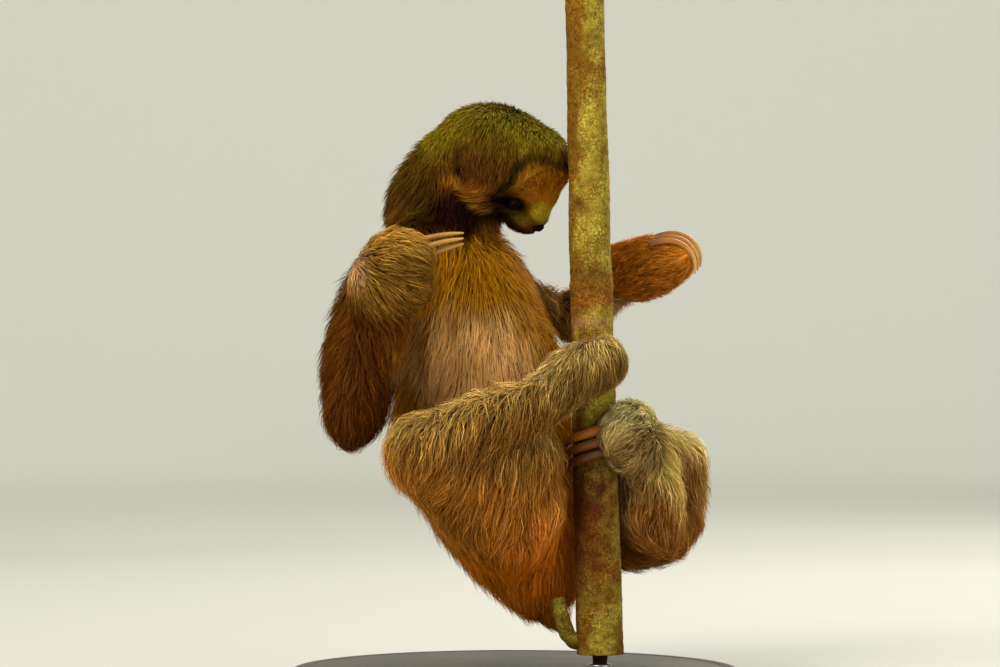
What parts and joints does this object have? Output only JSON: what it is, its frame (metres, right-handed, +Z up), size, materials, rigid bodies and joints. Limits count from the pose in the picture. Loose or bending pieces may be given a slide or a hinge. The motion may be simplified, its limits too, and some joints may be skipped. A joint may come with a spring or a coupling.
{
  "type": "three-toed sloth model",
  "caption": "Life-size still model of a three-toed sloth clasping a cut upright stem with its hind feet, one hand raised to its chin, on a flat display base.",
  "frame": {"origin": "centre of the underside of the display base", "axes": "+Z up along the stem; +Y away from the viewer, so -Y is the side it is seen from; +X to the viewer's right, which the animal's face is turned to"},
  "size_m": [0.35, 0.35, 0.5544],
  "materials": {
    "coat": "long coarse hair, grey-brown with a golden chest",
    "bare_skin": "bare dark skin, slightly moist on the nose",
    "eye": "wet and glossy",
    "claw_horn": "smooth tan horn",
    "bark": "rough bark mottled with lichen",
    "stand_board": "dark stained board, satin",
    "stand_steel": "brushed"
  },
  "bodies": {
    "root": {"head": "coat", "neck": "coat", "trunk": "coat", "tail": "coat", "upper_arm_right": "coat", "forearm_right": "coat", "hand_right": "coat", "upper_arm_left": "coat", "forearm_left": "coat", "hand_left": "coat", "thigh_right": "coat", "shin_right": "coat", "foot_right": "coat", "thigh_left": "coat", "shin_left": "coat", "foot_left": "coat", "eye_right": "eye", "eye_left": "eye", "nose": "bare_skin", "ear_right": "bare_skin", "ear_left": "bare_skin", "hand_right_claw_1": "claw_horn", "hand_right_claw_2": "claw_horn", "hand_right_claw_3": "claw_horn", "hand_left_claw_1": "claw_horn", "hand_left_claw_2": "claw_horn", "hand_left_claw_3": "claw_horn", "foot_right_claw_1": "claw_horn", "foot_right_claw_2": "claw_horn", "foot_right_claw_3": "claw_horn", "foot_left_claw_1": "claw_horn", "foot_left_claw_2": "claw_horn", "foot_left_claw_3": "claw_horn", "perch_stem": "bark", "stand_base": "stand_board", "stand_rod": "stand_steel"}
  },
  "joints": []
}
